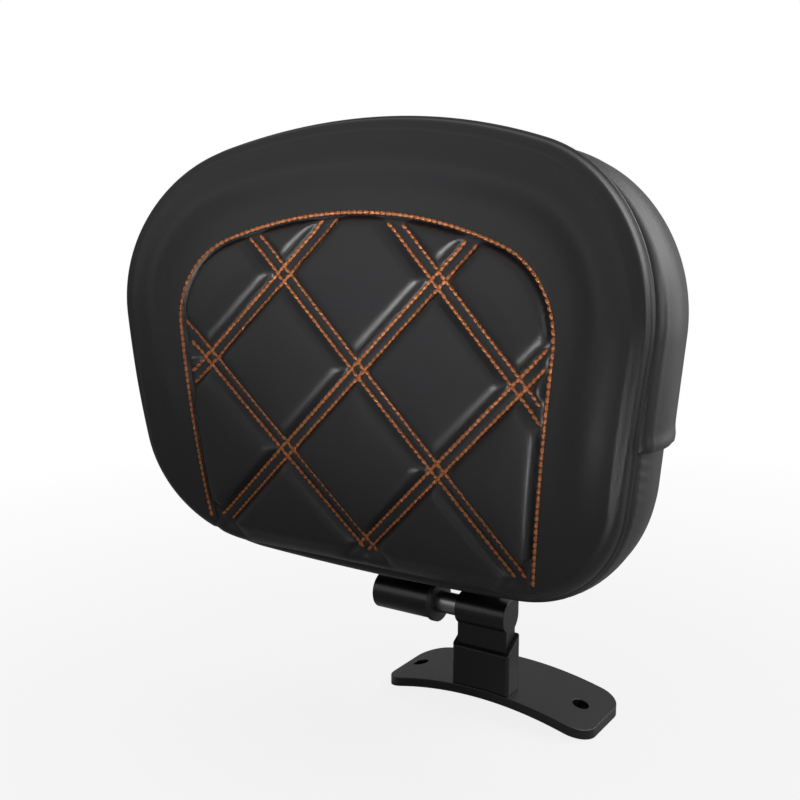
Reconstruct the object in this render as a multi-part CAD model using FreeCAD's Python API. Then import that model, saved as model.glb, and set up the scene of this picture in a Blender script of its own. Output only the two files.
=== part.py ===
"""Motorcycle driver backrest: a quilted pad on a folding hinge, above a plug-in post and an arched base plate.

Millimetres, +Z up, the rider in front of the pad at -Y. The origin is midway between the two base bolts.
"""
import FreeCAD
import Part
import math
import os

V = FreeCAD.Vector

# Base plate
plate_left_margin = 10.0
plate_right_margin = 14.5
plate_depth = 52.0
plate_thickness = 5.0
plate_arch_radius = 210.0
plate_corner_radius = 13.0
bolt_spacing = 102.0
bolt_hole_radius = 4.5

# Receiver and post
post_x = 2.0
post_width = 30.0
post_thickness = 10.0
slide_clearance = 0.3
receiver_wall = 2.0
receiver_front_top = 30.5
receiver_back_top = 39.5
receiver_corner_radius = 2.0
weld_gap = 0.02

# Lock bolt and its weld nut
lock_bolt_radius = 4.0
lock_bolt_across_flats = 13.0
lock_bolt_head_height = 5.3
lock_bolt_z = 24.0
lock_nut_height = 6.5
thread_clearance = 0.2

# Hinge
hinge_z = 51.0
knuckle_radius = 9.0
knuckle_end_wall = 4.0
pin_radius = 6.0
running_fit = 0.05
press_gap = 0.02
tube_radius = 10.5
tube_bore_radius = 8.0
tube_length = 36.0
tube_to_post_gap = 17.0
bush_length = 14.0
right_flange_radius = 11.5
right_flange_thickness = 3.0
tube_recess = 6.0
end_play = 0.2
pin_washer_radius = 7.6
pin_washer_thickness = 1.5
pin_clip_radius = 7.4
pin_clip_thickness = 1.2
pin_clip_opening = 6.0
pin_groove_depth = 1.0
pin_end_length = 1.5

# Hinge plate
hinge_plate_thickness = 5.0
hinge_plate_offset = 7.0
hinge_plate_bite = 1.2
hinge_plate_width = 92.0
hinge_plate_foot_z = 100.0
hinge_plate_height = 96.0
hinge_plate_corner_radius = 12.0
stop_reach = 20.0
stop_gap = 0.3

# Fasteners between hinge plate and board
fastener_spacing_x = 62.0
fastener_spacing_z = 58.0
fastener_lowest_z = 120.0
bracket_bolt_radius = 3.0
bracket_bolt_across_flats = 10.0
bracket_bolt_head_height = 4.0
tee_nut_flange_radius = 9.5
tee_nut_flange_thickness = 1.5
tee_nut_barrel_radius = 4.0

# Pad outline, seen from the front
pad_x = -49.0
pad_front_y = -67.0
pad_depth = 56.0
pad_middle_z = 186.0
pad_top_z = 308.0
pad_bottom_z = 80.0
pad_bottom_sag = 3.0
pad_shoulder_half_width = 166.0
pad_foot_half_width = 147.5
pad_top_arc_radius = 420.0
pad_upper_corner_radius = 76.0
pad_lower_corner_radius = 60.0
crown_radius = 632.0
cup_radius = 830.0
forward_room = 40.0
cup_sweep = 30.0

# Pad covers, board and cushion
front_wall = 6.0
front_shoulder_radius = 16.0
seam_depth = 17.0
seam_gap = 0.3
upper_gusset_bulge = 3.0
lower_gusset_bulge = -1.0
lower_gusset_sag = 13.0
lower_gusset_rounding = 12.0
gusset_edge_radius = 6.0
gusset_back_radius = 18.0
cushion_back_radius = 12.0
gusset_joint_z = 161.0
back_wall = 3.2
back_panel_inset = 20.0
board_thickness = 8.0
cushion_clearance = 0.3

# Quilting
quilt_x = -49.5
quilt_width = 95.0
quilt_height = 95.0
quilt_channel_width = 9.0
quilt_channel_depth = 2.5
quilt_pillow_height = 4.0
quilt_pillow_radius = 210.0
quilt_pillow_root = 5.0
panel_top_z = 266.0
panel_shoulder_half_width = 116.7
panel_foot_half_width = 100.7
panel_top_arc_radius = 240.0
panel_upper_corner_radius = 46.0
panel_edge_groove = 4.0

# Places that follow from the sizes above
plate_arch_z = -math.sqrt(plate_arch_radius ** 2 - (bolt_spacing / 2) ** 2)
plate_top_z = plate_arch_z + plate_arch_radius + plate_thickness / 2
post_left = post_x - post_width / 2
post_right = post_x + post_width / 2
pad_back_y = pad_front_y + pad_depth
post_y = pad_back_y - hinge_plate_offset
post_back_y = post_y + post_thickness / 2
receiver_back_y = post_back_y + slide_clearance + receiver_wall
tube_right = post_left - tube_to_post_gap
tube_left = tube_right - tube_length
hinge_plate_front_y = pad_back_y - hinge_plate_bite
hinge_plate_back_y = hinge_plate_front_y + hinge_plate_thickness
back_inner_y = pad_back_y - back_wall
board_back_y = back_inner_y - cushion_clearance
board_front_y = board_back_y - board_thickness
stop_z = hinge_z + knuckle_radius
neck_right = post_left + stop_reach
far = 400.0


def box(x0, x1, y0, y1, z0, z1):
    """A block between two corners."""
    return Part.makeBox(x1 - x0, y1 - y0, z1 - z0, V(x0, y0, z0))


def rod_x(radius, x0, x1, y, z):
    """A round bar along X."""
    return Part.makeCylinder(radius, x1 - x0, V(x0, y, z), V(1, 0, 0))


def rod_y(radius, x, y0, y1, z):
    """A round bar along Y."""
    return Part.makeCylinder(radius, y1 - y0, V(x, y0, z), V(0, 1, 0))


def rod_z(radius, x, y, z0, z1):
    """A round bar along Z."""
    return Part.makeCylinder(radius, z1 - z0, V(x, y, z0), V(0, 0, 1))


def hexagon_y(across_flats, x, y0, y1, z):
    """A hexagonal prism along Y, for bolt heads and nuts."""
    corner = across_flats / math.sqrt(3)
    angles = [math.radians(60 * k) for k in range(7)]
    points = [V(x + corner * math.cos(a), y0, z + corner * math.sin(a)) for a in angles]
    return Part.Face(Part.makePolygon(points)).extrude(V(0, y1 - y0, 0))


def edges_along(shape, direction):
    """The straight edges of a shape that run along one direction."""
    found = []
    for edge in shape.Edges:
        if edge.Curve.TypeId != "Part::GeomLine":
            continue
        if abs(edge.Curve.Direction.dot(direction)) > 0.999:
            found.append(edge)
    return found


def arch(radius):
    """A cylinder whose top carries a surface of the arched plate."""
    return Part.makeCylinder(radius, 2 * far, V(0, -far, plate_arch_z), V(0, 1, 0))


def crown_sag(z):
    """How far the crown falls back at a height."""
    return crown_radius - math.sqrt(crown_radius ** 2 - (z - pad_middle_z) ** 2)


def front_y(x, z):
    """Where the pad's front lies: crowned from top to bottom, cupped from side to side."""
    reach = cup_radius + crown_sag(z)
    return pad_front_y - cup_radius + math.sqrt(reach ** 2 - (x - pad_x) ** 2)


def cup(y):
    """The space in front of an upright cylinder parallel to the cupped front, at a depth in the middle."""
    radius = cup_radius + y - pad_front_y
    return Part.makeCylinder(radius, 2 * far, V(pad_x, pad_front_y - cup_radius, -far), V(0, 0, 1))


def cup_y(y, offset):
    """Where that cylinder lies at a distance to the side of the pad's middle."""
    radius = cup_radius + y - pad_front_y
    return pad_front_y - cup_radius + math.sqrt(radius ** 2 - offset ** 2)


def cup_edges(shape, y):
    """The edges of a block that lie in its cupped back."""
    radius = cup_radius + y - pad_front_y
    axis = V(pad_x, pad_front_y - cup_radius, 0)
    found = []
    for edge in shape.Edges:
        reaches = [math.hypot(v.X - axis.x, v.Y - axis.y) for v in edge.Vertexes]
        if all(abs(reach - radius) < 0.01 for reach in reaches):
            found.append(edge)
    return found


def crown(depth):
    """The space behind the pad's front, a given depth below it: an arc turned about an upright axis."""
    half = crown_radius / 3
    low = pad_middle_z - half
    high = pad_middle_z + half
    middle = pad_front_y + crown_radius
    edge_y = middle - math.sqrt((crown_radius - depth) ** 2 - half ** 2)
    crest = V(pad_x, pad_front_y + depth, pad_middle_z)
    front = Part.Arc(V(pad_x, edge_y, low), crest, V(pad_x, edge_y, high))
    back = [V(pad_x, edge_y, high), V(pad_x, far, high), V(pad_x, far, low), V(pad_x, edge_y, low)]
    profile = Part.Face(Part.Wire([front.toShape()] + Part.makePolygon(back).Edges))
    axis = V(pad_x, pad_front_y - cup_radius, 0)
    profile.rotate(axis, V(0, 0, 1), -cup_sweep / 2)
    return profile.revolve(axis, V(0, 0, 1), cup_sweep)


def shield(x, top_z, bottom_z, sag, top_half, foot_half, arc_radius, upper_radius, lower_radius, y0, y1):
    """A block with an arched top, tapered sides, a slightly bowed bottom and rounded corners."""
    corner_z = top_z - arc_radius + math.sqrt(arc_radius ** 2 - top_half ** 2)
    upper_left = V(x - top_half, y0, corner_z)
    upper_right = V(x + top_half, y0, corner_z)
    lower_left = V(x - foot_half, y0, bottom_z)
    lower_right = V(x + foot_half, y0, bottom_z)
    outline = Part.Wire([
        Part.Arc(upper_left, V(x, y0, top_z), upper_right).toShape(),
        Part.makeLine(upper_right, lower_right),
        Part.Arc(lower_right, V(x, y0, bottom_z - sag), lower_left).toShape(),
        Part.makeLine(lower_left, upper_left),
    ])
    block = Part.Face(outline).extrude(V(0, y1 - y0, 0))
    corners = edges_along(block, V(0, 1, 0))
    upper = [e for e in corners if e.CenterOfMass.z > (top_z + bottom_z) / 2]
    lower = [e for e in corners if e.CenterOfMass.z < (top_z + bottom_z) / 2]
    if upper_radius > 0:
        block = block.makeFillet(upper_radius, upper)
        corners = edges_along(block, V(0, 1, 0))
        lower = [e for e in corners if abs(e.CenterOfMass.z - bottom_z) < 0.01 and
                 abs(abs(e.CenterOfMass.x - x) - foot_half) < 0.01]
    if lower_radius > 0:
        block = block.makeFillet(lower_radius, lower)
    return block


def pad_block(grow, y0, y1, sag=0, rounding=0):
    """The pad's outline, grown all round, between two depths; sag and rounding make the bottom fuller."""
    return shield(
        pad_x, pad_top_z + grow, pad_bottom_z - grow, pad_bottom_sag + sag, pad_shoulder_half_width + grow,
        pad_foot_half_width + grow, pad_top_arc_radius + grow, pad_upper_corner_radius + grow,
        pad_lower_corner_radius + rounding + grow, y0, y1)


def panel_block(grow, y0, y1):
    """The outline of the quilted middle, grown all round, running out below the pad's bottom."""
    return shield(
        quilt_x, panel_top_z + grow, pad_bottom_z - front_wall, pad_bottom_sag, panel_shoulder_half_width + grow,
        panel_foot_half_width + grow, panel_top_arc_radius + grow, panel_upper_corner_radius + grow, 0, y0, y1)


def front_edges(shape, y_limit):
    """The edges of a crowned block that lie wholly in front of a depth."""
    return [e for e in shape.Edges if e.BoundBox.YMax < y_limit]


def front_form(inset, back_y):
    """The crowned front of the pad with its rounded shoulder, a given distance below the surface."""
    block = pad_block(-inset, pad_front_y - forward_room, back_y)
    block = block.common(crown(inset))
    rim = front_edges(block, back_y - 1)
    return block.makeFillet(front_shoulder_radius - inset, rim)


def cushion_form(inset):
    """The inside of the pad, filled from the front cover to the back cover, with a rounded back edge."""
    back_y = pad_back_y - back_wall - inset + front_wall
    block = front_form(inset, pad_back_y + back_wall).common(cup(back_y))
    return block.makeFillet(cushion_back_radius, cup_edges(block, back_y))


def front_cover():
    """The sewn front of the pad, border and middle together, as a shell that ends at the front seam."""
    shell = front_form(0, back_inner_y).cut(front_form(front_wall, back_inner_y))
    return shell.cut(crown(seam_depth))


def make_front_border():
    """The plain border that frames the quilted middle."""
    return front_cover().cut(panel_block(seam_gap / 2, pad_front_y - far, pad_back_y))


def quilt_cell(u, v):
    """One diamond between four stitched channels, as a prism; u and v count cells along the two diagonals."""
    side_share = 1 - quilt_channel_width / 2 * math.hypot(1 / quilt_width, 1 / quilt_height) * 2
    x = quilt_x + quilt_width * (u + v) / 2
    z = pad_middle_z + quilt_height * (u - v) / 2
    half_x = quilt_width / 2 * side_share
    half_z = quilt_height / 2 * side_share
    y = pad_front_y - forward_room
    corners = [V(x + half_x, y, z), V(x, y, z + half_z), V(x - half_x, y, z), V(x, y, z - half_z)]
    face = Part.Face(Part.makePolygon(corners + corners[:1]))
    return face.extrude(V(0, far, 0)), x, z


def quilt_pillow(u, v):
    """One puffed diamond: its prism capped by a large ball that stands proud of the front."""
    prism, x, z = quilt_cell(u, v)
    inward = V((x - pad_x) / cup_radius, 1, (pad_middle_z - z) / crown_radius).normalize()
    centre = V(x, front_y(x, z), z) + inward * (quilt_pillow_radius - quilt_pillow_height)
    pillow = prism.common(Part.makeSphere(quilt_pillow_radius, centre))
    return pillow.cut(crown(quilt_pillow_root))


def make_quilted_panel():
    """The middle of the front: a floor at the depth of the stitching and a pillow in every diamond."""
    panel = front_cover().common(panel_block(-seam_gap / 2, pad_front_y - far, pad_back_y))
    panel = panel.common(crown(quilt_channel_depth))
    room = panel_block(-panel_edge_groove, pad_front_y - far, pad_back_y)
    room = room.common(pad_block(-front_wall, pad_front_y - far, pad_back_y))
    pillows = []
    for u in (-1.5, -0.5, 0.5, 1.5):
        for v in (-1.5, -0.5, 0.5, 1.5):
            pillow = quilt_pillow(u, v).common(room)
            if pillow.Solids:
                pillows.append(pillow)
    return panel.fuse(pillows).removeSplitter()


def gusset_ring(bulge, sag, rounding):
    """The padded side strip all round the pad, from the front seam round the back edge to the back panel."""
    block = pad_block(bulge, pad_front_y - forward_room, pad_back_y + back_wall, sag, rounding)
    block = block.common(crown(seam_depth + seam_gap))
    block = block.makeFillet(gusset_edge_radius, front_edges(block, pad_back_y))
    block = block.common(cup(pad_back_y))
    block = block.makeFillet(gusset_back_radius, cup_edges(block, pad_back_y))
    block = block.cut(cushion_form(front_wall))
    return block.cut(back_layer(seam_gap - back_panel_inset, board_front_y, pad_back_y + back_wall))


def back_layer(grow, y0, y1):
    """A cupped sheet with the outline of the pad, between two depths at the pad's middle."""
    sheet = pad_block(grow, pad_front_y - forward_room, pad_back_y + far)
    return sheet.common(cup(y1)).cut(cup(y0))


def make_upper_gusset():
    """The puffed side strip round the top and the upper sides."""
    limit = box(pad_x - far, pad_x + far, -far, far, gusset_joint_z + seam_gap / 2, pad_top_z + far)
    return gusset_ring(upper_gusset_bulge, 0, 0).common(limit)


def make_lower_gusset():
    """The slimmer strip round the lower sides and the bottom, pressed flat under the hinge plate."""
    limit = box(pad_x - far, pad_x + far, -far, far, pad_bottom_z - far, gusset_joint_z - seam_gap / 2)
    ring = gusset_ring(lower_gusset_bulge, lower_gusset_sag, lower_gusset_rounding)
    return ring.common(limit).cut(plate_blank(far))


def make_back_cover():
    """The plain panel that closes the pad's back, flat under the hinge plate and pierced for the bolts."""
    cover = back_layer(-back_panel_inset, back_inner_y, pad_back_y)
    cover = cover.cut(plate_blank(far))
    for x, z in fastener_places():
        cover = cover.cut(rod_y(bracket_bolt_radius + thread_clearance, x, -far, far, z))
    return cover


def fastener_places():
    """Centres of the four fasteners that hold the hinge plate to the board."""
    places = []
    for side in (-1, 1):
        for row in (0, 1):
            x = pad_x + side * fastener_spacing_x / 2
            places.append((x, fastener_lowest_z + row * fastener_spacing_z))
    return places


def tee_nut_seat_y():
    """The depth of the flat seats for the tee nuts, at the edge of their flanges nearest the pad's middle."""
    return cup_y(board_front_y, fastener_spacing_x / 2 - tee_nut_flange_radius)


def tee_nut_front_y():
    """The front of the tee nuts' flanges."""
    return tee_nut_seat_y() - tee_nut_flange_thickness


def make_back_board():
    """The stiff cupped board inside the pad's back, drilled and spot-faced for the tee nuts."""
    board = back_layer(-back_panel_inset, board_front_y, board_back_y)
    for x, z in fastener_places():
        board = board.cut(rod_y(tee_nut_barrel_radius + press_gap, x, -far, far, z))
        board = board.cut(rod_y(tee_nut_flange_radius + thread_clearance, x, -far, tee_nut_seat_y(), z))
    return board


def make_foam_core():
    """The cushion between the covers, with a bed for the board and the tee nuts in its back."""
    core = cushion_form(front_wall + cushion_clearance)
    bed_y = board_front_y - cushion_clearance
    core = core.cut(back_layer(cushion_clearance - back_panel_inset, bed_y, pad_back_y))
    pocket_y = tee_nut_front_y() - cushion_clearance
    for x, z in fastener_places():
        core = core.cut(rod_y(tee_nut_flange_radius + cushion_clearance, x, pocket_y, board_front_y, z))
    return core


def plate_blank(depth):
    """The hinge plate's outline as a block of a given depth: a rounded plate with a neck down to the hinge."""
    top = hinge_plate_foot_z + hinge_plate_height
    back_y = hinge_plate_front_y + depth
    plate = box(pad_x - hinge_plate_width / 2, pad_x + hinge_plate_width / 2, hinge_plate_front_y, back_y,
                hinge_plate_foot_z, top)
    plate = plate.makeFillet(hinge_plate_corner_radius, edges_along(plate, V(0, 1, 0)))
    neck_top = hinge_plate_foot_z + hinge_plate_corner_radius
    neck = box(tube_left, neck_right, hinge_plate_front_y, back_y, hinge_z, neck_top)
    return plate.fuse(neck).removeSplitter()


def make_hinge_plate():
    """The steel plate on the pad's back, saddled on the hinge tube and ending just above the post's knuckle."""
    plate = plate_blank(hinge_plate_thickness)
    plate = plate.cut(rod_x(tube_radius + weld_gap, tube_left - 1, tube_right, post_y, hinge_z))
    plate = plate.cut(box(tube_right, neck_right + 1, -far, far, -far, stop_z + stop_gap))
    for x, z in fastener_places():
        plate = plate.cut(rod_y(bracket_bolt_radius + thread_clearance, x, -far, far, z))
    return plate


def make_bracket_bolts():
    """Four hexagon bolts through the hinge plate and the board into the tee nuts."""
    bolts = []
    for x, z in fastener_places():
        head = hexagon_y(bracket_bolt_across_flats, x, hinge_plate_back_y,
                         hinge_plate_back_y + bracket_bolt_head_height, z)
        shank = rod_y(bracket_bolt_radius, x, tee_nut_front_y(), hinge_plate_back_y, z)
        bolts.append(head.fuse(shank).removeSplitter())
    return Part.makeCompound(bolts)


def make_tee_nuts():
    """Four tee nuts pulled into the front of the board."""
    barrel_end_y = cup_y(board_back_y, fastener_spacing_x / 2 + tee_nut_barrel_radius)
    nuts = []
    for x, z in fastener_places():
        nut = rod_y(tee_nut_flange_radius, x, tee_nut_front_y(), tee_nut_seat_y(), z)
        nut = nut.fuse(rod_y(tee_nut_barrel_radius, x, tee_nut_seat_y(), barrel_end_y, z)).removeSplitter()
        nuts.append(nut.cut(rod_y(bracket_bolt_radius + press_gap, x, -far, far, z)))
    return Part.makeCompound(nuts)


def make_hinge_tube():
    """The horizontal tube below the pad that carries the two bushes."""
    tube = rod_x(tube_radius, tube_left, tube_right, post_y, hinge_z)
    return tube.cut(rod_x(tube_bore_radius, tube_left, tube_right, post_y, hinge_z))


def bush_sleeve(x0, x1):
    """The sleeve of a bush, pressed in the tube between two stations along X."""
    return rod_x(tube_bore_radius - press_gap, x0, x1, post_y, hinge_z)


def bush_bore():
    """The space that the pin runs in."""
    return rod_x(pin_radius + running_fit, tube_left - far, post_left, post_y, hinge_z)


def make_right_bush():
    """The bush at the post's end of the tube, with a wide flange."""
    sleeve = bush_sleeve(tube_right - bush_length, tube_right)
    flange = rod_x(right_flange_radius, tube_right, tube_right + right_flange_thickness, post_y, hinge_z)
    return sleeve.fuse(flange).removeSplitter().cut(bush_bore())


def make_left_bush():
    """The plain bush near the free end of the tube, set back to leave room for the washer and the clip."""
    return bush_sleeve(tube_left + tube_recess, tube_left + tube_recess + bush_length).cut(bush_bore())


def washer_right():
    """Where the washer at the free end of the pin begins, beside the left bush."""
    return tube_left + tube_recess - end_play


def make_hinge_pin():
    """The pin, pressed into the blind knuckle, with a groove for the clip at its free end."""
    groove_right = washer_right() - pin_washer_thickness
    groove_left = groove_right - pin_clip_thickness
    pin_left = groove_left - pin_end_length
    pin = rod_x(pin_radius, pin_left, post_right - knuckle_end_wall, post_y, hinge_z)
    groove = rod_x(pin_radius + 1, groove_left, groove_right, post_y, hinge_z)
    groove = groove.cut(rod_x(pin_radius - pin_groove_depth, groove_left, groove_right, post_y, hinge_z))
    return pin.cut(groove)


def make_pin_washer():
    """The plain washer between the left bush and the clip."""
    right = washer_right()
    left = right - pin_washer_thickness
    washer = rod_x(pin_washer_radius, left, right, post_y, hinge_z)
    return washer.cut(rod_x(pin_radius + running_fit, left, right, post_y, hinge_z))


def make_pin_clip():
    """The open retaining clip in the pin's groove."""
    right = washer_right() - pin_washer_thickness
    left = right - pin_clip_thickness
    clip = rod_x(pin_clip_radius, left, right, post_y, hinge_z)
    clip = clip.cut(rod_x(pin_radius - pin_groove_depth + press_gap, left, right, post_y, hinge_z))
    half = pin_clip_opening / 2
    mouth_z = hinge_z - pin_clip_radius - 1
    return clip.cut(box(left - 1, right + 1, post_y - half, post_y + half, mouth_z, hinge_z))


def make_post():
    """The flat post with a round knuckle whose squared rear corner is the pad's stop."""
    bottom = plate_top_z + slide_clearance
    bar = box(post_left, post_right, post_y - post_thickness / 2, post_back_y, bottom, hinge_z)
    knuckle = rod_x(knuckle_radius, post_left, post_right, post_y, hinge_z)
    heel = box(post_left, post_right, post_y, post_y + knuckle_radius, hinge_z, stop_z)
    post = bar.fuse([knuckle, heel]).removeSplitter()
    return post.cut(rod_x(pin_radius + press_gap, post_left, post_right - knuckle_end_wall, post_y, hinge_z))


def make_receiver():
    """The folded sleeve welded on the plate, its top sloping up to the back, open for the post."""
    half_x = post_width / 2 + slide_clearance + receiver_wall
    half_y = post_thickness / 2 + slide_clearance + receiver_wall
    side = [V(post_x - half_x, post_y - half_y, 0), V(post_x - half_x, post_y + half_y, 0),
            V(post_x - half_x, post_y + half_y, receiver_back_top),
            V(post_x - half_x, post_y - half_y, receiver_front_top)]
    sleeve = Part.Face(Part.makePolygon(side + side[:1])).extrude(V(2 * half_x, 0, 0))
    sleeve = sleeve.makeFillet(receiver_corner_radius, edges_along(sleeve, V(0, 0, 1)))
    slot = box(post_left - slide_clearance, post_right + slide_clearance,
               post_y - post_thickness / 2 - slide_clearance, post_back_y + slide_clearance,
               0, receiver_back_top + 1)
    sleeve = sleeve.cut(slot)
    sleeve = sleeve.cut(rod_y(lock_bolt_radius + thread_clearance, post_x, post_y, far, lock_bolt_z))
    return sleeve.cut(arch(plate_arch_radius + plate_thickness / 2 + weld_gap))


def make_lock_nut():
    """The nut welded to the back of the receiver."""
    nut_end_y = receiver_back_y + lock_nut_height
    nut = hexagon_y(lock_bolt_across_flats, post_x, receiver_back_y, nut_end_y, lock_bolt_z)
    return nut.cut(rod_y(lock_bolt_radius + press_gap, post_x, post_y, far, lock_bolt_z))


def make_lock_bolt():
    """The set bolt that presses on the back of the post."""
    tip_y = post_back_y + slide_clearance / 2
    head_y = receiver_back_y + lock_nut_height
    shank = rod_y(lock_bolt_radius, post_x, tip_y, head_y, lock_bolt_z)
    head = hexagon_y(lock_bolt_across_flats, post_x, head_y, head_y + lock_bolt_head_height, lock_bolt_z)
    return shank.fuse(head).removeSplitter()


def make_base_plate():
    """The arched plate with rounded corners and two vertical bolt holes."""
    left = -bolt_spacing / 2 - plate_left_margin
    right = bolt_spacing / 2 + plate_right_margin
    blank = box(left, right, -plate_depth / 2, plate_depth / 2, plate_arch_z, plate_top_z + 1)
    blank = blank.makeFillet(plate_corner_radius, edges_along(blank, V(0, 0, 1)))
    plate = blank.common(arch(plate_arch_radius + plate_thickness / 2))
    plate = plate.cut(arch(plate_arch_radius - plate_thickness / 2))
    for side in (-1, 1):
        plate = plate.cut(rod_z(bolt_hole_radius, side * bolt_spacing / 2, 0, plate_arch_z, far))
    return plate


pieces = {
    "base_plate": make_base_plate,
    "receiver": make_receiver,
    "lock_nut": make_lock_nut,
    "lock_bolt": make_lock_bolt,
    "post": make_post,
    "hinge_pin": make_hinge_pin,
    "pin_washer": make_pin_washer,
    "pin_clip": make_pin_clip,
    "hinge_tube": make_hinge_tube,
    "left_bush": make_left_bush,
    "right_bush": make_right_bush,
    "hinge_plate": make_hinge_plate,
    "bracket_bolts": make_bracket_bolts,
    "tee_nuts": make_tee_nuts,
    "back_board": make_back_board,
    "foam_core": make_foam_core,
    "back_cover": make_back_cover,
    "lower_gusset": make_lower_gusset,
    "upper_gusset": make_upper_gusset,
    "front_border": make_front_border,
    "quilted_panel": make_quilted_panel,
}

os.makedirs("parts", exist_ok=True)
for name, make in pieces.items():
    shape = make()
    print(name, len(shape.Solids), shape.isValid(), round(shape.Volume / 1000, 2), "cm3")
    shape.exportStep("parts/" + name + ".step")
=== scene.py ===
import math

import bpy
import numpy as np
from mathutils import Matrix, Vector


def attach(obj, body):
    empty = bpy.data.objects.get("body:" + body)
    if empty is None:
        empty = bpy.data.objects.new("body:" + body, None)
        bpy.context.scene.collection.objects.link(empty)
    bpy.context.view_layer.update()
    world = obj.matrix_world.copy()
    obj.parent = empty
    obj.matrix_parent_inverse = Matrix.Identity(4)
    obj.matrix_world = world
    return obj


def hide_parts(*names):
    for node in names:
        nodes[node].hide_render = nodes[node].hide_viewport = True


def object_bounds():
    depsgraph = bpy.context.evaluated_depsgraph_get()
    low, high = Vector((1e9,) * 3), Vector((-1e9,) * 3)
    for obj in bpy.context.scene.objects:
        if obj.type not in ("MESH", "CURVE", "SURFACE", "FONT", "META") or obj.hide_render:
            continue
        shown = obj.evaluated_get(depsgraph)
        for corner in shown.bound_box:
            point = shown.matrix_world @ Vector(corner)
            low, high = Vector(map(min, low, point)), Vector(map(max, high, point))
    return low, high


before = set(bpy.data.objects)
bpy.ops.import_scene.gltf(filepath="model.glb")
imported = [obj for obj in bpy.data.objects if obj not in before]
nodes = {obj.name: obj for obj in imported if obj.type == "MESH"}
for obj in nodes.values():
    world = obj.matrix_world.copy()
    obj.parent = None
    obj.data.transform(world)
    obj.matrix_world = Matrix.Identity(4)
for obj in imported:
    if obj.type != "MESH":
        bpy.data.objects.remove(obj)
size_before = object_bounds()


# Base plate, receiver, post, hinge tube and hinge plate: bent, cut and welded steel.
# All of it is powder coated in glossy black after welding, so the edges are soft and the
# faces carry a faint orange peel.
def linear(text):
    """An sRGB hex colour as linear red, green, blue and full alpha."""
    srgb = np.array([int(text[k:k + 2], 16) for k in (1, 3, 5)]) / 255
    value = np.where(srgb <= 0.04045, srgb / 12.92, ((srgb + 0.055) / 1.055) ** 2.4)
    return (*value.tolist(), 1.0)


def node(owner, kind, links=(), **settings):
    """Adds a shader node, sets its inputs or properties by name and links its inputs."""
    made = owner.node_tree.nodes.new(kind)
    for name, value in settings.items():
        if hasattr(made, name):
            setattr(made, name, value)
        else:
            made.inputs[name.replace("_", " ")].default_value = value
    for name, socket in links:
        owner.node_tree.links.new(socket, made.inputs[name])
    return made


def material(name, colour, roughness, metallic=0.0, specular=0.5):
    """A new material with one Principled shader; returns both."""
    made = bpy.data.materials.new(name)
    made.use_nodes = True
    shader = made.node_tree.nodes["Principled BSDF"]
    shader.inputs["Base Color"].default_value = linear(colour)
    shader.inputs["Roughness"].default_value = roughness
    shader.inputs["Metallic"].default_value = metallic
    shader.inputs["Specular IOR Level"].default_value = specular
    return made, shader


def grain(made, shader, kind, size, height, **settings):
    """Presses a fine procedural pattern, sized in millimetres, into a material."""
    place = node(made, "ShaderNodeTexCoord")
    pattern = node(made, kind, [("Vector", place.outputs["Object"])],
                   Scale=1000 / size, **settings)
    bump = node(made, "ShaderNodeBump", [("Height", pattern.outputs[0])],
                Distance=height / 1000, Strength=1.0)
    made.node_tree.links.new(bump.outputs["Normal"], shader.inputs["Normal"])
    return bump


def dress(name, made):
    """Gives a CAD node a material."""
    nodes[name].data.materials.clear()
    nodes[name].data.materials.append(made)


edge_softness = 0.0008
powder_coat, shader = material("black powder coat", colour="#09090a", roughness=0.3)
bump = grain(powder_coat, shader, "ShaderNodeTexNoise", size=1.6, height=0.02, Detail=1.0)
soft_edge = node(powder_coat, "ShaderNodeBevel", samples=6, Radius=edge_softness)
powder_coat.node_tree.links.new(soft_edge.outputs["Normal"], bump.inputs["Normal"])
for name in ("base_plate", "receiver", "lock_nut", "post", "hinge_tube", "hinge_plate"):
    dress(name, powder_coat)

# Bolts, hinge pin and bushes: the bolts are black oxide, the pin is bare ground steel,
# its washer, clip and the tee nuts are zinc plated, and the bushes are moulded nylon.
black_oxide = material("black oxide steel", colour="#1c1c1d", roughness=0.45, metallic=0.6)[0]
for name in ("lock_bolt", "bracket_bolts"):
    dress(name, black_oxide)
ground_steel = material("ground steel", colour="#8f8f91", roughness=0.35, metallic=1.0)[0]
dress("hinge_pin", ground_steel)
zinc = material("zinc plated steel", colour="#b4b6b8", roughness=0.4, metallic=1.0)[0]
for name in ("pin_washer", "pin_clip", "tee_nuts"):
    dress(name, zinc)
nylon = material("black nylon", colour="#1d1d1f", roughness=0.5)[0]
for name in ("left_bush", "right_bush"):
    dress(name, nylon)

# Back board: plywood, closed in by the covers.
plywood = material("birch plywood", colour="#b98f5f", roughness=0.7)[0]
dress("back_board", plywood)


# Front cover, plain border: black upholstery vinyl over foam. It is sewn to the quilted
# middle along its inner edge, rolls over the pad's shoulder and ends in the seam with the
# side strip. Its fine grain takes the shine off broad reflections.
pad_x = -46.5
pad_front_y = -67.0
pad_back_y = -11.0
pad_middle_z = 186.0
pad_bottom_z = 80.0
crown_radius = 632.0
cup_radius = 830.0
edge_roll = 7.0
quilt_x = -49.5
outline_points = 1440
arc_points = 200


def corner(point, along, inward, centre, radius, fillet, end):
    """Centre of a fillet between a straight side, at its far or near end, and an arc's inside."""
    start = point + fillet * inward - centre
    half = start @ along
    root = math.sqrt(half ** 2 - start @ start + (radius - fillet) ** 2)
    return point + fillet * inward + along * (-half + end * root)


def arc(centre, radius, first, last):
    """Points on a circle from one direction to another, in radians."""
    turn = np.linspace(first, last, arc_points)
    return centre + radius * np.stack([np.cos(turn), np.sin(turn)], axis=1)


def heading(vector):
    """The direction of a vector in the plane of the outline, in radians."""
    return math.atan2(vector[1], vector[0])


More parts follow.
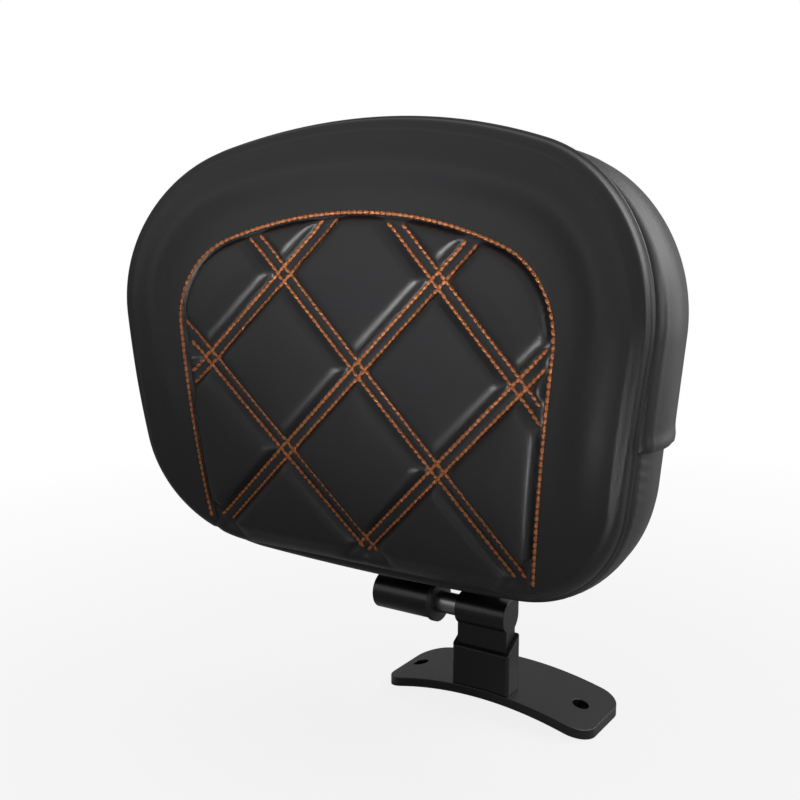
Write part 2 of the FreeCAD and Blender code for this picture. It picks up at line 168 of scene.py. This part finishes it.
def run_along(points):
    """Distance of each point from the first, measured along the points."""
    return np.concatenate([[0], np.cumsum(np.linalg.norm(np.diff(points, axis=0), axis=1))])


def shield(x, top, bottom, sag, top_half, foot_half, top_radius, upper, lower):
    """Points (x, z) and outward normals evenly spaced round an outline with an arched top,
    tapered sides and a bowed bottom: it starts at the bottom's middle and runs up the right
    side first. The upper and lower corners are fillets."""
    top_centre = np.array([0.0, top - top_radius])
    foot_radius = (foot_half ** 2 + sag ** 2) / (2 * sag)
    foot_centre = np.array([0.0, bottom - sag + foot_radius])
    foot = np.array([foot_half, bottom])
    side_top = top_centre[1] + math.sqrt(top_radius ** 2 - top_half ** 2)
    side = np.array([top_half, side_top]) - foot
    side = side / np.linalg.norm(side)
    inward = np.array([-side[1], side[0]])
    low = corner(foot, side, inward, foot_centre, foot_radius, lower, -1)
    high = corner(foot, side, inward, top_centre, top_radius, upper, 1)
    outward = heading(-inward)
    half = np.concatenate([
        arc(foot_centre, foot_radius, -math.pi / 2, heading(low - foot_centre)),
        arc(low, lower, heading(low - foot_centre), outward),
        arc(high, upper, outward, heading(high - top_centre)),
        arc(top_centre, top_radius, heading(high - top_centre), math.pi / 2)])
    loop = np.concatenate([half, half[-2::-1] * (-1, 1)])
    run = run_along(loop)
    station = np.linspace(0, run[-1], outline_points, endpoint=False)
    points = np.stack([np.interp(station, run, loop[:, 0]) + x,
                       np.interp(station, run, loop[:, 1])], axis=1)
    step = np.roll(points, -1, axis=0) - np.roll(points, 1, axis=0)
    step = step / np.linalg.norm(step, axis=1, keepdims=True)
    return points, np.stack([step[:, 1], -step[:, 0]], axis=1)


def front(x, z):
    """Depth of the pad's front: an upright arc turned about an upright axis before the pad."""
    fall = crown_radius - np.sqrt(crown_radius ** 2 - (z - pad_middle_z) ** 2)
    return pad_front_y - cup_radius + np.sqrt((cup_radius + fall) ** 2 - (x - pad_x) ** 2)


def cupped(y, x):
    """Depth of an upright cylinder parallel to the cupped front, at y in the pad's middle."""
    radius = cup_radius + y - pad_front_y
    return pad_front_y - cup_radius + np.sqrt(radius ** 2 - (x - pad_x) ** 2)


def hump(distance, middle, width):
    """A bell-shaped rise to one around a middle."""
    return np.exp(-((distance - middle) / width) ** 2)


def smooth(share):
    """An ease from nought to one that is level at both ends."""
    share = np.clip(share, 0, 1)
    return share ** 2 * (3 - 2 * share)


def path_between(points, normals, first, last, count):
    """A stretch of an outline between two of its points, evenly spaced again."""
    station = np.linspace(first, last, count)
    index = np.arange(len(points))
    part = np.stack([np.interp(station, index, points[:, k]) for k in (0, 1)], axis=1)
    normal = np.stack([np.interp(station, index, normals[:, k]) for k in (0, 1)], axis=1)
    return part, normal


def placed(spot, depth):
    """Points in space from places (x, z) seen from the front and their depths."""
    return np.stack([spot[..., 0], depth, spot[..., 1]], axis=-1)


def grid_quads(rows, columns, closed):
    """Point numbers of the quads between each four neighbours of a grid."""
    index = np.arange(rows * columns).reshape(rows, columns)
    if closed:
        index = np.concatenate([index, index[:, :1]], axis=1)
    corners = [index[:-1, :-1], index[:-1, 1:], index[1:, 1:], index[1:, :-1]]
    return np.stack(corners, axis=-1).reshape(-1, 4)


def mesh_piece(name, points, quads, made):
    """A smooth object from points in millimetres and quads."""
    mesh = bpy.data.meshes.new(name)
    mesh.from_pydata((points / 1000).tolist(), [], quads.tolist())
    mesh.polygons.foreach_set("use_smooth", np.ones(len(mesh.polygons), dtype=bool))
    mesh.materials.append(made)
    piece = bpy.data.objects.new(name, mesh)
    bpy.context.scene.collection.objects.link(piece)
    return piece


def grid_piece(name, points, made, closed=False, keep=None):
    """A smooth object from rows and columns of points, all of them or those to keep."""
    quads = grid_quads(*points.shape[:2], closed)
    flat = points.reshape(-1, 3)
    if keep is not None:
        quads = quads[keep.reshape(-1)[quads].all(axis=1)]
        used, quads = np.unique(quads, return_inverse=True)
        flat = flat[used]
        quads = quads.reshape(-1, 4)
    return mesh_piece(name, flat, quads, made)


vinyl, shader = material("black upholstery vinyl", colour="#171719", roughness=0.45)
grain(vinyl, shader, "ShaderNodeTexVoronoi", size=1.1, height=0.05)

outline, outward = shield(pad_x, top=312.0, bottom=pad_bottom_z, sag=3.0, top_half=163.0,
                          foot_half=139.5, top_radius=340.0, upper=84.0, lower=66.0)
panel_edge, panel_out = shield(quilt_x, top=263.5, bottom=40.0, sag=5.0, top_half=114.2,
                               foot_half=94.9, top_radius=237.5, upper=43.5, lower=2.0)
bottom_points = outline_points // 6
bottom_out = outward[:bottom_points]
bottom_line = outline[:bottom_points] - edge_roll * bottom_out
bottom_index = np.arange(bottom_points)
right_points = outline_points // 3
right_side = panel_edge[:right_points]
right_index = np.arange(right_points)
roll_z = pad_bottom_z + edge_roll
panel_foot = np.interp(roll_z, right_side[:, 1], right_side[:, 0]) - quilt_x

seam_dive = 1.7
seam_width = 1.4
underlap_slope = 1.6
ridge_height = 2.5
ridge_middle = 22.0
ridge_width = 9.5
welt_height = 0.8
welt_middle = 1.2
welt_width = 1.1
hollow_depth = 0.5
hollow_middle = 4.5
hollow_width = 1.5


def border_relief(from_seam, from_edge, full):
    """How far the border lies behind the plain front: it dives into the seam, and on under
    the quilt, and where it is full it stands proud as a soft ridge along the shoulder and
    as a narrow welt at its edge, with a hollow between them."""
    dive = np.where(from_seam > 0, seam_dive * hump(from_seam, 0, seam_width),
                    seam_dive - underlap_slope * from_seam)
    ridge = ridge_height * hump(from_edge, ridge_middle, ridge_width)
    welt = welt_height * hump(from_edge, welt_middle, welt_width)
    welt = welt - hollow_depth * hump(from_edge, hollow_middle, hollow_width)
    return dive - full * (ridge + welt)


seam_columns = 1000
flat_rows = 56
flat_spacing = 1.4
roll_rows = 24
underlap = 2.0
inner_foot = 6.0
full_from_z = 105.0
full_over = 70.0
right_foot = quilt_x + panel_foot - underlap
left_foot = 2 * pad_x - quilt_x + panel_foot - underlap
first = np.interp(right_foot, bottom_line[:, 0], bottom_index)
last = outline_points - np.interp(left_foot, bottom_line[:, 0], bottom_index)
outer, outer_normal = path_between(outline, outward, first, last, seam_columns)
first = np.interp(roll_z + inner_foot, right_side[:, 1], right_index)
last = outline_points - first
inner, inner_normal = path_between(panel_edge, panel_out, first, last, seam_columns)

under = np.array([-underlap, -0.8])[:, None, None] * inner_normal + inner
share = np.linspace(0, 1, flat_rows)[:, None, None] ** flat_spacing
full = smooth((outer[:, 1] - full_from_z) / full_over)
base = outer - edge_roll * outer_normal
flat = np.concatenate([under, inner + share * (base - inner)])
from_seam = ((flat - inner) * inner_normal).sum(axis=2)
from_edge = ((outer - flat) * outer_normal).sum(axis=2)
depth = front(flat[..., 0], flat[..., 1]) + border_relief(from_seam, from_edge, full)
turn = np.linspace(0, math.pi / 2, roll_rows)[1:, None]
rolled = base + edge_roll * np.sin(turn)[..., None] * outer_normal
relief = border_relief(from_seam[-1], edge_roll * (1 - np.sin(turn)), full)
rolled_depth = front(rolled[..., 0], rolled[..., 1]) + edge_roll * (1 - np.cos(turn))
rolled_depth = rolled_depth + relief * np.cos(turn)
rolled = rolled - (relief * np.sin(turn))[..., None] * outer_normal
lip_out = np.array([0.9, 1.2, 0.8, -0.6, -3.5, -6.0])
lip_back = np.array([0.5, 1.3, 2.2, 2.7, 2.9, 3.2])
tucked = rolled[-1] + lip_out[:, None, None] * outer_normal
tucked_depth = rolled_depth[-1] + lip_back[:, None]
across = np.concatenate([flat, rolled, tucked])
behind = np.concatenate([depth, rolled_depth, tucked_depth])
border = grid_piece("border_cover", placed(across, behind), vinyl)
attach(border, "pad")
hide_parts("front_border")


# Front cover, quilted middle: the same vinyl sewn through to the padding along crossing
# channels, which leave a stuffed diamond in every field, and rolled over the pad's lower edge.
quilt_pitch = 95.0
channel_spacing = quilt_pitch / math.sqrt(2)
channel_half = 4.4
channel_depth = 2.5
channel_rise = 0.6
channel_rise_width = 4.0
puff_height = 5.2
puff_reach = 12.0
edge_puff_start = 0.8
edge_puff_reach = 10.0
dome_height = 1.6
rib_height = 0.5
rib_width = 1.6
tuck_depth = 0.7
tuck_width = 1.5
tuck_slope = 0.9
plain_from = 7.0
plain_over = 12.0
plain_groove_width = 2.0
plain_softening = 0.7


def from_outline(x, z, points, normals):
    """Signed distance from an outline, negative inside, by the nearest of its points."""
    found = np.empty(x.shape)
    for row in range(len(x)):
        away = (x[row][:, None] - points[:, 0]) ** 2 + (z[row][:, None] - points[:, 1]) ** 2
        near = away.argmin(axis=1)
        aside = (x[row] - points[near, 0]) * normals[near, 0]
        across = aside + (z[row] - points[near, 1]) * normals[near, 1]
        found[row] = np.where(across < 0, -1, 1) * np.sqrt(away.min(axis=1))
    return found


def channel_distance(x, z):
    """Distances from the nearest channel of each of the two crossing sets."""
    along = (x - quilt_x) / quilt_pitch
    up = (z - pad_middle_z) / quilt_pitch
    first = np.abs(along + up - np.round(along + up)) * channel_spacing
    second = np.abs(along - up - np.round(along - up)) * channel_spacing
    return first, second


def puff(distance, start, reach):
    """Height share of a stuffed field by the distance from its sewn edge: steep, then flat."""
    inside = np.clip((distance - start) / (reach - start), 0, 1)
    return np.sqrt(1 - (1 - inside) ** 3)


def roll_start(x):
    """Height at which the front cover starts to roll over the pad's bowed bottom edge and the
    direction of that roll, the same on both sides of the pad's middle."""
    across = pad_x + np.abs(x - pad_x)
    z, aside, down = (np.interp(across, bottom_line[:, 0], values)
                      for values in (bottom_line[:, 1], bottom_out[:, 0], bottom_out[:, 1]))
    return z, aside * np.sign(x - pad_x), down


def over_edge(x, up, raised):
    """A point of the front cover from its place across and its height measured over the cover:
    the front above nought, the roll round the pad's lower edge below it. It stands proud by the
    raised amount."""
    start, aside, down = roll_start(x)
    angle = np.clip(-up / edge_roll, 0, math.pi / 2)
    out = (edge_roll + raised) * np.sin(angle)
    past = np.maximum(-up - edge_roll * math.pi / 2, 0)
    x = x + aside * out
    z = start + np.maximum(up, 0) + down * out
    y = front(x, z) + edge_roll * (1 - np.cos(angle)) - raised * np.cos(angle) + past
    return np.stack([x, y, z], axis=-1)


def quilt_point(x, up):
    """A point of the quilted cover and its distance from the border: every field rises steeply
    from its channels to a flat top, and all of it runs out into a plain roll at the bottom."""
    flat_z = roll_start(x)[0] + np.maximum(up, 0)
    edge = -from_outline(x, flat_z, panel_edge, panel_out)
    inside = np.maximum(edge, 0)
    first, second = channel_distance(x, flat_z + np.minimum(up, 0))
    nearest = np.minimum(np.minimum(first, second), inside)
    field = puff(first, channel_half, puff_reach) * puff(second, channel_half, puff_reach)
    field = field * puff(edge, edge_puff_start, edge_puff_reach)
    dome = 1 - (1 - np.clip(nearest / (channel_spacing / 2), 0, 1)) ** 2
    rib = rib_height * (hump(first, 0, rib_width) + hump(second, 0, rib_width))
    plain = smooth((plain_from - up) / plain_over)
    tuck = np.where(edge < 0, tuck_depth - tuck_slope * edge,
                    tuck_depth * hump(inside, 0, tuck_width))
    channel = channel_depth * (1 - channel_rise * hump(edge, 0, channel_rise_width))
    groove = hump(inside, 0, plain_groove_width) * plain + tuck
    raised = ((puff_height + dome_height * dome) * field + rib - channel) * (1 - plain)
    raised = raised - groove * (1 - plain_softening * plain)
    return over_edge(x, up, raised), edge


quilt_step = 1.15
quilt_half = 121.0
quilt_top = 190.0
quilt_end = 3.0
quilt_underlap = 3.5
quilt_across = np.arange(-quilt_half, quilt_half + quilt_step, quilt_step) + quilt_x
quilt_up = np.arange(-edge_roll * math.pi / 2 - quilt_end, quilt_top, quilt_step)
across, up = np.meshgrid(quilt_across, quilt_up)
points, edge = quilt_point(across, up)
quilt = grid_piece("quilted_cover", points, vinyl, keep=edge > -quilt_underlap)
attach(quilt, "pad")
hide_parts("quilted_panel")


# Side strip: padded vinyl all round the pad, in two lengths. The upper one is fuller and ends
# in a folded hem on each side. The lower one starts under that hem, hangs lower than the front
# and gathers in small slanting puckers at both sides.
joint_z = 161.0
joint_overlap = 6
seam_behind = 1.6
edge_radius = 6.0
back_radius = 18.0
back_inset = 20.0
upper_run = 830.0
hem_tuck = 4.5
hem_tuck_width = 1.3
hem_swell = 1.0
hem_swell_width = 6.0
lower_run = 560.0
pucker_height = 0.28
pucker_pitch = 7.5
pucker_slant = 14.0
pucker_row = 0.3
pucker_row_width = 0.1
top_outline, top_outward = shield(pad_x, top=306.0, bottom=pad_bottom_z, sag=3.0, top_half=164.0,
                                  foot_half=146.0, top_radius=370.0, upper=76.0, lower=60.0)
low_outline, low_outward = shield(pad_x, top=304.0, bottom=pad_bottom_z, sag=12.0, top_half=163.0,
                                  foot_half=145.0, top_radius=380.0, upper=76.0, lower=76.0)


def strip_piece(name, points, normals, first, last, bulge, crown, hidden, shape):
    """A side strip along part of an outline. Across, it comes out of the front seam, turns over
    a small front edge, crosses the padded side and turns round the back to a hem under the back
    panel; a shaping function moves it in or out."""
    along, normal = path_between(np.tile(points, (2, 1)), np.tile(normals, (2, 1)),
                                 first, last, seam_columns)
    turn = np.linspace(0, math.pi / 2, 9)
    side = np.linspace(0, 1, 14)[1:-1]
    start_in = np.array([hidden, 2.0])
    start_back = np.array([5.0, 2.0])
    hem_out = np.array([2.0, -0.5, -1.5, -6.0])
    hem_back = np.array([0.0, -0.7, -1.3, -1.35])
    offset = np.concatenate([
        bulge - edge_radius - start_in,
        bulge - edge_radius * (1 - np.sin(turn)),
        bulge + crown * np.sin(math.pi * side),
        bulge - back_radius * (1 - np.cos(turn)),
        hem_out - back_inset])
    share = np.concatenate([np.zeros(len(start_in) + len(turn)), side,
                            np.ones(len(turn) + len(hem_out))])
    fall = np.concatenate([
        start_back,
        edge_radius * (1 - np.cos(turn)),
        edge_radius * (1 - side) - back_radius * side,
        -back_radius * (1 - np.sin(turn)),
        hem_back])
    seam = front(along[:, 0], along[:, 1]) + edge_roll + seam_behind
    rows = np.linspace(0, 1, len(offset))[:, None]
    moved = offset[:, None] + shape(np.linspace(0, 1, len(along)), rows)
    spot = along + moved[..., None] * normal
    back = cupped(pad_back_y, spot[..., 0])
    depth = seam + share[:, None] * (back - seam) + fall[:, None]
    return grid_piece(name, placed(spot, depth), vinyl)


def hem(share, rows):
    """The upper strip swells towards its folded ends and tucks in at the very end."""
    from_end = np.minimum(share, 1 - share) * upper_run
    tuck = hump(from_end, 0, hem_tuck_width) * hem_tuck
    swell = hem_swell * hump(from_end, hem_swell_width, hem_swell_width)
    return (swell - tuck) * np.sqrt(np.sin(math.pi * rows))


def gathers(share, rows):
    """Slanting puckers of the lower strip beside the seam: a wave whose spacing wanders and
    whose strength comes and goes on each side and fades out along the bottom."""
    run = share * lower_run
    phase = 2 * math.pi * (run + pucker_slant * rows) / pucker_pitch
    wave = np.sin(phase + 1.7 * np.sin(run / 23))
    at_sides = np.clip((np.abs(share - 0.5) - 0.25) / 0.08, 0, 1)
    strength = (0.6 + 0.4 * np.sin(run / 31 + 1)) * at_sides
    return pucker_height * wave * strength * hump(rows, pucker_row, pucker_row_width)


joint = int(np.argmax(top_outline[:, 1] > joint_z))
upper_strip = strip_piece("upper_side_strip", top_outline, top_outward,
                          joint, outline_points - joint,
                          bulge=2.0, crown=1.2, hidden=5.0, shape=hem)
joint = int(np.argmax(low_outline[:, 1] > joint_z)) + joint_overlap
lower_strip = strip_piece("lower_side_strip", low_outline, low_outward,
                          outline_points - joint, outline_points + joint,
                          bulge=-1.0, crown=0.8, hidden=17.0, shape=gathers)
for piece, solid in ((upper_strip, "upper_gusset"), (lower_strip, "lower_gusset")):
    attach(piece, "pad")
    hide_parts(solid)


# Back panel: plain vinyl stretched over the board and stapled under the side strip's edge,
# pressed flat where the hinge plate is bolted on.
plate_x = -49.0
plate_front_y = -12.2
plate_half = 54.0
plate_top_z = 204.0
plate_gap = 0.1
press_width = 8.0
panel_rows = 60
panel_gap = 0.3
panel_fall = 1.2
ring = 1 - np.linspace(0, 1, panel_rows)[:, None, None] ** 1.5
rim = low_outline - (back_inset + panel_gap) * low_outward
centre = np.array([pad_x, pad_middle_z])
spot = centre + ring * (rim - centre)
depth = cupped(pad_back_y, spot[..., 0]) - panel_fall
depth = depth + panel_fall * np.sqrt(1 - ring[..., 0] ** 14)
pressed = np.clip((plate_half - np.abs(spot[..., 0] - plate_x)) / press_width, 0, 1)
pressed = pressed * np.clip((plate_top_z - spot[..., 1]) / press_width, 0, 1)
depth = depth - pressed * np.maximum(depth - plate_front_y + plate_gap, 0)
back = grid_piece("back_panel", placed(spot, depth)[:, ::-1], vinyl, closed=True)
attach(back, "pad")
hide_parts("back_cover")


# Cushion: a block of foam that fills the covers in front of the board.
# It is hidden once the pad is sewn up.
foam = material("polyurethane foam", colour="#d8cda6", roughness=0.9)[0]
foam_depth = 7.0
foam_roll = 11.0
foam_inset = 15.0
foam_back_y = -21.5
foam_line = outline[::4]
foam_out = outward[::4]
front_rings = np.array([0.02, 0.4, 0.8])[:, None, None]
back_rings = np.array([1.0, 0.5, 0.02])[:, None, None]
turn = np.linspace(0, math.pi / 2, 6)[:, None]
flat_line = foam_line - (foam_inset + foam_roll) * foam_out
rolled = flat_line + foam_roll * np.sin(turn)[..., None] * foam_out
face = centre + front_rings * (flat_line - centre)
rear = centre + back_rings * (rolled[-1] - centre)
face_depth = front(face[..., 0], face[..., 1]) + foam_depth
rolled_depth = front(rolled[..., 0], rolled[..., 1]) + foam_depth + foam_roll * (1 - np.cos(turn))
spot = np.concatenate([face, rolled, rear])
depth = np.concatenate([face_depth, rolled_depth, cupped(foam_back_y, rear[..., 0])])
cushion = grid_piece("foam_block", placed(spot, depth), foam, closed=True)
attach(cushion, "pad")
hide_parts("foam_core")


# Stitching: thick orange thread, in twin rows along every quilting channel and in a single row
# along the border's inner edge. Each stitch is a short plump bar that dips into the vinyl at
# both ends.
stitch_pitch = 3.4
stitch_length = 3.9
thread_radius = 1.0
row_offset = 2.9
row_half = 220.0
row_clear = 1.5
row_foot = 5.0
row_top_z = 270.0
fewest_stitches = 5
border_row = 2.3
border_row_foot = 3.0
seam_points = 1200
mid_border = 60.0
thread = material("orange polyester thread", colour="#98592c", roughness=0.55)[0]


def stitches(name, centre, along, normal):
    """One mesh of plump bars: each has five rings of six points along its length, thin and sunk
    at the ends."""
    side = np.cross(along, normal)
    place = np.linspace(-1, 1, 5)
    width = thread_radius * np.array([0.35, 0.9, 1.0, 0.9, 0.35])
    sink = np.array([-0.45, 0.05, 0.2, 0.05, -0.45])
    turn = np.arange(6) * math.pi / 3
    ring = np.cos(turn)[:, None, None] * side + np.sin(turn)[:, None, None] * normal
    spine = centre + (place * stitch_length / 2)[:, None, None] * along
    spine = spine + sink[:, None, None] * normal
    points = spine[:, None] + width[:, None, None, None] * ring
    count = len(centre)
    each = len(place) * len(turn)
    quads = grid_quads(len(place), len(turn), closed=True)[:, [0, 3, 2, 1]]
    caps = np.array([[0, 1, 2, 3], [0, 3, 4, 5], [24, 27, 26, 25], [24, 29, 28, 27]])
    quads = np.concatenate([quads, caps])
    faces = (quads[None] + each * np.arange(count)[:, None, None]).reshape(-1, 4)
    flat = points.reshape(each, count, 3).transpose(1, 0, 2).reshape(-1, 3)
    return mesh_piece(name, flat, faces, thread)


def unit(vectors):
    """Vectors made one long."""
    return vectors / np.linalg.norm(vectors, axis=-1, keepdims=True)


def laid_on(surface, across, along, direction):
    """Places, directions and normals of stitches on a surface given by two coordinates."""
    small = 0.4
    place = surface(across, along)
    ahead = surface(across + small * direction[0], along + small * direction[1]) - place
    ahead = unit(ahead)
    beside = surface(across - small * direction[1], along + small * direction[0]) - place
    normal = unit(np.cross(ahead, beside))
    return place, ahead, normal * np.where(normal[..., 1:2] > 0, -1, 1)


def quilt_surface(x, up):
    """The quilted cover for single points."""
    return quilt_point(x[None], up[None])[0][0]


stations = np.arange(-row_half, row_half, stitch_pitch)
found = []
for slope in (1, -1):
    for number in range(-3, 4):
        for offset in (-row_offset, row_offset):
            from_middle = number * channel_spacing + offset
            x = quilt_x + (from_middle + stations) / math.sqrt(2)
            z = pad_middle_z + slope * (from_middle - stations) / math.sqrt(2)
            up = z - roll_start(x)[0]
            edge = -from_outline(x[None], z[None], panel_edge, panel_out)[0]
            kept = (edge > row_clear) & (up > row_foot) & (z < row_top_z)
            if kept.sum() > fewest_stitches:
                found.append(laid_on(quilt_surface, x[kept], up[kept], (1, -slope)))
laid = [np.concatenate(part) for part in zip(*found)]
quilt_stitches = stitches("quilting_stitches", *laid)

first = np.interp(roll_z + border_row_foot, right_side[:, 1], right_index)
last = outline_points - first
seam, seam_out = path_between(panel_edge, panel_out, first, last, seam_points)
run = run_along(seam)


def border_surface(station, distance):
    """The border at a distance along its seam and a distance from it; round the lower edge it
    runs straight."""
    x, z = [np.interp(station, run, seam[:, k]) + distance * np.interp(station, run, seam_out[:, k])
            for k in (0, 1)]
    foot = quilt_x + np.copysign(panel_foot + distance, x - quilt_x)
    x = np.where(z < roll_z, foot, x)
    return over_edge(x, z - roll_start(x)[0], -border_relief(distance, mid_border, 0.0))


station = np.arange(1, run[-1] - 1, stitch_pitch)
laid = laid_on(border_surface, station, np.full_like(station, border_row), (1, 0))
border_stitches = stitches("border_stitches", *laid)
for piece in (quilt_stitches, border_stitches):
    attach(piece, "pad")


# Studio: a pale floor that the camera sees as white but for the part's own shadow, a white
# backdrop, soft light that is strongest from above, and square lamps behind, to the right,
# in front and low under the pad.
floor_z = size_before[0][2]
floor_half = 6
floor_paint, shader = material("pale floor", colour="#909090", roughness=0.9, specular=0.0)
ray = node(floor_paint, "ShaderNodeLightPath")
place = node(floor_paint, "ShaderNodeTexCoord")
away = node(floor_paint, "ShaderNodeVectorMath", [(0, place.outputs["Object"])],
            operation="LENGTH")
glow = node(floor_paint, "ShaderNodeMapRange", [("Value", away.outputs["Value"])],
            From_Min=0.1, From_Max=0.7, To_Min=0.85, To_Max=1.0)
seen = node(floor_paint, "ShaderNodeMath",
            [(0, glow.outputs["Result"]), (1, ray.outputs["Is Camera Ray"])],
            operation="MULTIPLY")
white = node(floor_paint, "ShaderNodeEmission", Strength=1.0)
mixed = node(floor_paint, "ShaderNodeMixShader",
             [(0, seen.outputs["Value"]), (1, shader.outputs["BSDF"]),
              (2, white.outputs["Emission"])])
surface = floor_paint.node_tree.nodes["Material Output"].inputs["Surface"]
floor_paint.node_tree.links.new(mixed.outputs["Shader"], surface)
corners = [(x * floor_half, y * floor_half, floor_z)
           for x, y in ((-1, -1), (1, -1), (1, 1), (-1, 1))]
mesh = bpy.data.meshes.new("floor")
mesh.from_pydata(corners, [], [(0, 1, 2, 3)])
mesh.materials.append(floor_paint)
floor = bpy.data.objects.new("floor", mesh)
bpy.context.scene.collection.objects.link(floor)

world = bpy.data.worlds.new("studio")
world.use_nodes = True
bpy.context.scene.world = world
ray = node(world, "ShaderNodeLightPath")
place = node(world, "ShaderNodeTexCoord")
part = node(world, "ShaderNodeSeparateXYZ", [("Vector", place.outputs["Generated"])])
sky = node(world, "ShaderNodeMapRange", [("Value", part.outputs["Z"])],
           From_Min=-0.1, From_Max=0.8, To_Min=0.05, To_Max=0.6)
level = node(world, "ShaderNodeMath",
             [(0, sky.outputs["Result"]), (1, ray.outputs["Is Camera Ray"])],
             operation="MAXIMUM")
ground = world.node_tree.nodes["Background"]
ground.inputs["Color"].default_value = (1, 1, 1, 1)
world.node_tree.links.new(level.outputs["Value"], ground.inputs["Strength"])


def lamp(name, place, target, size, power, spread=180):
    """A square area lamp that faces a point and throws its light within an angle in degrees."""
    light = bpy.data.lights.new(name, "AREA")
    light.size = size
    light.energy = power
    light.spread = math.radians(spread)
    made = bpy.data.objects.new(name, light)
    made.location = place
    aim = np.array(target) - np.array(place)
    flat = math.hypot(aim[0], aim[1])
    made.rotation_euler = (math.atan2(flat, -aim[2]), 0, math.atan2(-aim[0], aim[1]))
    bpy.context.scene.collection.objects.link(made)


pad_low = (-0.05, -0.03, 0.15)
lamp("back lamp", (0.85, 0.65, 1.05), pad_low, size=1.2, power=19)
lamp("rim lamp", (0.8, 1.15, 0.25), pad_low, size=0.6, power=2.5)
lamp("right lamp", (1.3, -0.3, 0.5), (-0.05, -0.05, 0.2), size=0.7, power=6.0)
lamp("front lamp", (-0.95, -1.35, 0.6), pad_low, size=0.8, power=1.8)
lamp("low lamp", (0.05, -0.32, 0.0), (-0.05, -0.07, 0.22), size=0.18, power=0.35, spread=45)

camera_down = 10.075
camera_turn = 32.97
camera_data = bpy.data.cameras.new("camera")
camera_data.sensor_width = 36
camera_data.lens = 49.37
camera = bpy.data.objects.new("camera", camera_data)
camera.location = (0.2722, -0.5211, 0.2692)
camera.rotation_euler = (math.radians(90 - camera_down), 0, math.radians(camera_turn))
bpy.context.scene.collection.objects.link(camera)
bpy.context.scene.camera = camera
bpy.context.scene.view_settings.view_transform = "Standard"
